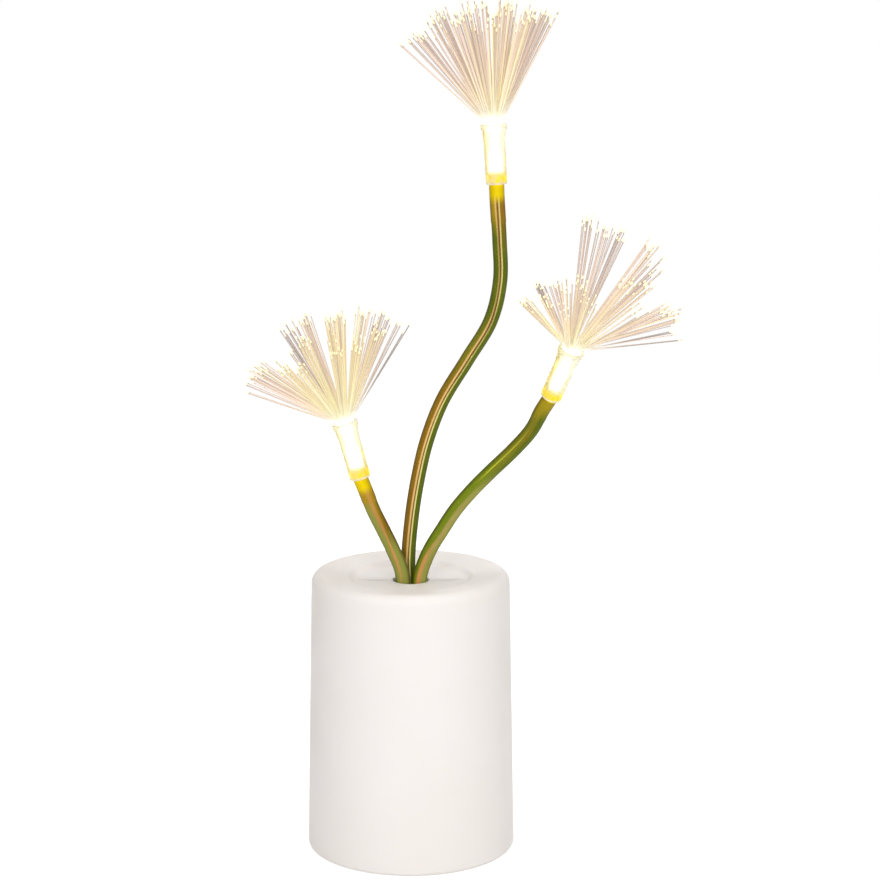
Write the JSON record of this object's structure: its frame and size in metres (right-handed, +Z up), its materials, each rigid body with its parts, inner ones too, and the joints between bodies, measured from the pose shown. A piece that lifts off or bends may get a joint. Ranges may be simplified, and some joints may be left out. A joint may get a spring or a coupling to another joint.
{
  "type": "fiber optic lamp",
  "caption": "Battery lamp: a white candle-like drum with bendable stems, each ending in a clear lit sleeve with a spray of optical fibres.",
  "frame": {"origin": "middle of the base's underside, on the surface it stands on", "axes": "+Z up along the base's axis, -Y to the front, +X to the viewer's right"},
  "size_m": [0.1524, 0.101, 0.3071],
  "materials": {
    "white_plastic": "satin",
    "inner_plastic": "matte",
    "black_plastic": "matte",
    "red_plastic": "gloss",
    "steel": "brushed",
    "nickel": "satin",
    "cell_jacket": "gloss",
    "board_green": "satin",
    "stem_tube": "clear gloss",
    "copper_core": "gloss",
    "green_core": "gloss",
    "heat_shrink": "satin",
    "clear_sleeve": "clear gloss",
    "led": "lit, clear gloss",
    "optical_fibre": "clear gloss"
  },
  "bodies": {
    "base": {"base_shell": "white_plastic", "bottom_cover": "white_plastic", "cover_screw_1": "steel", "cover_screw_2": "steel", "cover_screw_3": "steel", "battery_tray": "inner_plastic", "battery_cell_1": "cell_jacket", "battery_cell_2": "cell_jacket", "battery_cell_3": "cell_jacket", "contact_spring_1": "steel", "contact_spring_3": "steel", "negative_plate": "nickel", "link_plate": "nickel", "positive_strip": "nickel", "door_pin": "steel", "switch_body": "black_plastic", "stem_holder": "inner_plastic", "holder_screw_1": "steel", "holder_screw_2": "steel", "circuit_board": "board_green", "board_screw_1": "steel", "board_screw_2": "steel", "controller_chip": "black_plastic", "negative_lead": "black_plastic", "positive_lead": "red_plastic", "switch_lead_1": "red_plastic", "switch_lead_2": "red_plastic", "left_stem_foot": "stem_tube", "middle_stem_foot": "stem_tube", "right_stem_foot": "stem_tube"},
    "door": {"battery_door": "white_plastic", "door_bridge_plate": "nickel", "door_end_plate": "nickel"},
    "knob": {"switch_knob": "black_plastic"},
    "left_arm": {"left_stem": "stem_tube", "left_copper_core": "copper_core", "left_green_core": "green_core"},
    "left_head": {"left_stem_neck": "stem_tube", "left_heat_shrink": "heat_shrink", "left_sleeve": "clear_sleeve", "left_led": "led", "left_fibres": "optical_fibre"},
    "middle_arm": {"middle_stem": "stem_tube", "middle_copper_core": "copper_core", "middle_green_core": "green_core"},
    "middle_head": {"middle_stem_neck": "stem_tube", "middle_heat_shrink": "heat_shrink", "middle_sleeve": "clear_sleeve", "middle_led": "led", "middle_fibres": "optical_fibre"},
    "right_arm": {"right_stem": "stem_tube", "right_copper_core": "copper_core", "right_green_core": "green_core"},
    "right_head": {"right_stem_neck": "stem_tube", "right_heat_shrink": "heat_shrink", "right_sleeve": "clear_sleeve", "right_led": "led", "right_fibres": "optical_fibre"}
  },
  "joints": [
    {"name": "left_lean", "type": "hinge", "parent": "base", "child": "left_arm", "pos_m": [-0.00389, -0.00231, 0.10485], "axis": [0, -1, 0], "range_deg": [-10, 25], "deforming": ["left_stem_foot", "left_copper_core", "left_green_core"]},
    {"name": "left_nod", "type": "hinge", "parent": "left_arm", "child": "left_head", "pos_m": [-0.01294, -0.00538, 0.1253], "axis": [1, 0, 0], "range_deg": [-30, 40], "deforming": ["left_stem_neck"]},
    {"name": "middle_lean", "type": "hinge", "parent": "base", "child": "middle_arm", "pos_m": [-0.00087, 0.00332, 0.10499], "axis": [-1, 0, 0], "range_deg": [-8, 30], "deforming": ["middle_stem_foot", "middle_copper_core", "middle_green_core"]},
    {"name": "middle_nod", "type": "hinge", "parent": "middle_arm", "child": "middle_head", "pos_m": [0.03145, 0.0047, 0.22253], "axis": [0, 1, 0], "range_deg": [-40, 40], "deforming": ["middle_stem_neck"]},
    {"name": "right_lean", "type": "hinge", "parent": "base", "child": "right_arm", "pos_m": [0.00456, -0.00244, 0.1048], "axis": [0, 1, 0], "range_deg": [-6, 25], "deforming": ["right_stem_foot", "right_copper_core", "right_green_core"]},
    {"name": "right_nod", "type": "hinge", "parent": "right_arm", "child": "right_head", "pos_m": [0.04264, -0.01574, 0.15746], "axis": [1, 0, 0], "range_deg": [-5, 30], "deforming": ["right_stem_neck"]},
    {"name": "door_hinge", "type": "hinge", "parent": "base", "child": "door", "pos_m": [-0.01515, -0.01399, 0.0015], "axis": [0, 1, 0], "range_deg": [0, 90]},
    {"name": "knob_slide", "type": "slide", "parent": "base", "child": "knob", "axis": [1, 0, 0], "range_m": [-0.0036, 0]}
  ]
}
